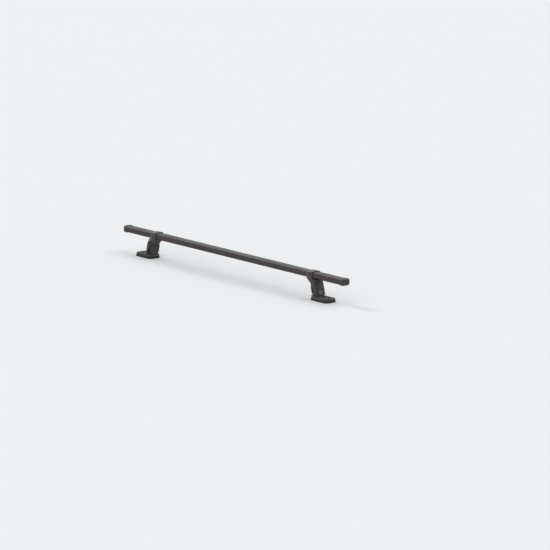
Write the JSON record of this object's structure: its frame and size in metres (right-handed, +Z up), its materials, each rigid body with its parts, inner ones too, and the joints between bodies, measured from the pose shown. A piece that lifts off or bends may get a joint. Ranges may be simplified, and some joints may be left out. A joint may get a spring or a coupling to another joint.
{
  "type": "roof rack crossbar",
  "caption": "Load bar for a vehicle roof: capped rectangular tube on leaning feet that clamp around it and fix to the roof through flat shoes with rubber pads.",
  "frame": {"origin": "on the roof plane under the middle of the bar, where both roof pads stand", "axes": "+X along the bar, +Y across it along the vehicle, +Z up"},
  "size_m": [1.27, 0.051, 0.0983],
  "materials": {
    "bar_coating": "satin black coating",
    "cap_plastic": "fine moulded grain",
    "casting": "satin black over cast aluminium",
    "strap_coating": "satin black",
    "cover_plastic": "fine moulded grain",
    "shoe_plastic": "fine moulded grain",
    "rubber": "matte black",
    "zinc": "black zinc plate",
    "lock_metal": "black satin nickel"
  },
  "bodies": {
    "crossbar": {"bar_tube": "bar_coating", "left_end_cap": "cap_plastic", "right_end_cap": "cap_plastic"},
    "left_foot": {"left_tower": "casting", "left_saddle_liner": "rubber", "left_bolt_washer": "zinc", "left_cover_pin": "zinc", "left_inner_cover": "cover_plastic", "left_base_bracket": "casting", "left_tower_screws": "zinc", "left_shoe": "shoe_plastic", "left_roof_pad": "rubber", "left_stud_washer": "zinc", "left_stud_nut": "zinc"},
    "left_clamp": {"left_clamp_strap": "strap_coating", "left_trunnion_nut": "zinc"},
    "left_bolt": {"left_clamp_bolt": "zinc"},
    "left_cover": {"left_outer_cover": "cover_plastic", "left_lock_barrel": "lock_metal"},
    "left_lock": {"left_lock_core": "lock_metal", "left_lock_cam": "zinc"},
    "right_foot": {"right_tower": "casting", "right_saddle_liner": "rubber", "right_bolt_washer": "zinc", "right_cover_pin": "zinc", "right_inner_cover": "cover_plastic", "right_base_bracket": "casting", "right_tower_screws": "zinc", "right_shoe": "shoe_plastic", "right_roof_pad": "rubber", "right_stud_washer": "zinc", "right_stud_nut": "zinc"},
    "right_clamp": {"right_clamp_strap": "strap_coating", "right_trunnion_nut": "zinc"},
    "right_bolt": {"right_clamp_bolt": "zinc"},
    "right_cover": {"right_outer_cover": "cover_plastic", "right_lock_barrel": "lock_metal"},
    "right_lock": {"right_lock_core": "lock_metal", "right_lock_cam": "zinc"}
  },
  "joints": [
    {"name": "left_foot_slide", "type": "slide", "parent": "crossbar", "child": "left_foot", "axis": [-1, 0, 0], "range_m": [-0.25, 0.14]},
    {"name": "left_bolt_turn", "type": "hinge", "parent": "left_foot", "child": "left_bolt", "pos_m": [-0.47315, 0, 0.045], "axis": [0, 0, -1], "range_deg": [0, 1080]},
    {"name": "left_strap_lift", "type": "slide", "parent": "left_foot", "child": "left_clamp", "axis": [0, 0, 1], "range_m": [0, 0.003]},
    {"name": "left_cover_swing", "type": "hinge", "parent": "left_foot", "child": "left_cover", "pos_m": [-0.47855, 0, 0.06816], "axis": [0, 1, 0], "range_deg": [0, 60]},
    {"name": "left_lock_turn", "type": "hinge", "parent": "left_cover", "child": "left_lock", "pos_m": [-0.49411, 0, 0.02797], "axis": [-0.9588, 0, 0.284], "range_deg": [-90, 0]},
    {"name": "right_foot_slide", "type": "slide", "parent": "crossbar", "child": "right_foot", "axis": [1, 0, 0], "range_m": [-0.25, 0.14]},
    {"name": "right_bolt_turn", "type": "hinge", "parent": "right_foot", "child": "right_bolt", "pos_m": [0.47315, 0, 0.045], "axis": [0, 0, -1], "range_deg": [0, 1080]},
    {"name": "right_strap_lift", "type": "slide", "parent": "right_foot", "child": "right_clamp", "axis": [0, 0, 1], "range_m": [0, 0.003]},
    {"name": "right_cover_swing", "type": "hinge", "parent": "right_foot", "child": "right_cover", "pos_m": [0.47855, 0, 0.06816], "axis": [0, -1, 0], "range_deg": [0, 60]},
    {"name": "right_lock_turn", "type": "hinge", "parent": "right_cover", "child": "right_lock", "pos_m": [0.49411, 0, 0.02797], "axis": [0.9588, 0, 0.284], "range_deg": [0, 90]}
  ],
  "couplings": [
    {"joint": "left_bolt_turn", "follows": "left_strap_lift", "rad_per_m": 6283.2},
    {"joint": "right_bolt_turn", "follows": "right_strap_lift", "rad_per_m": 6283.2}
  ]
}
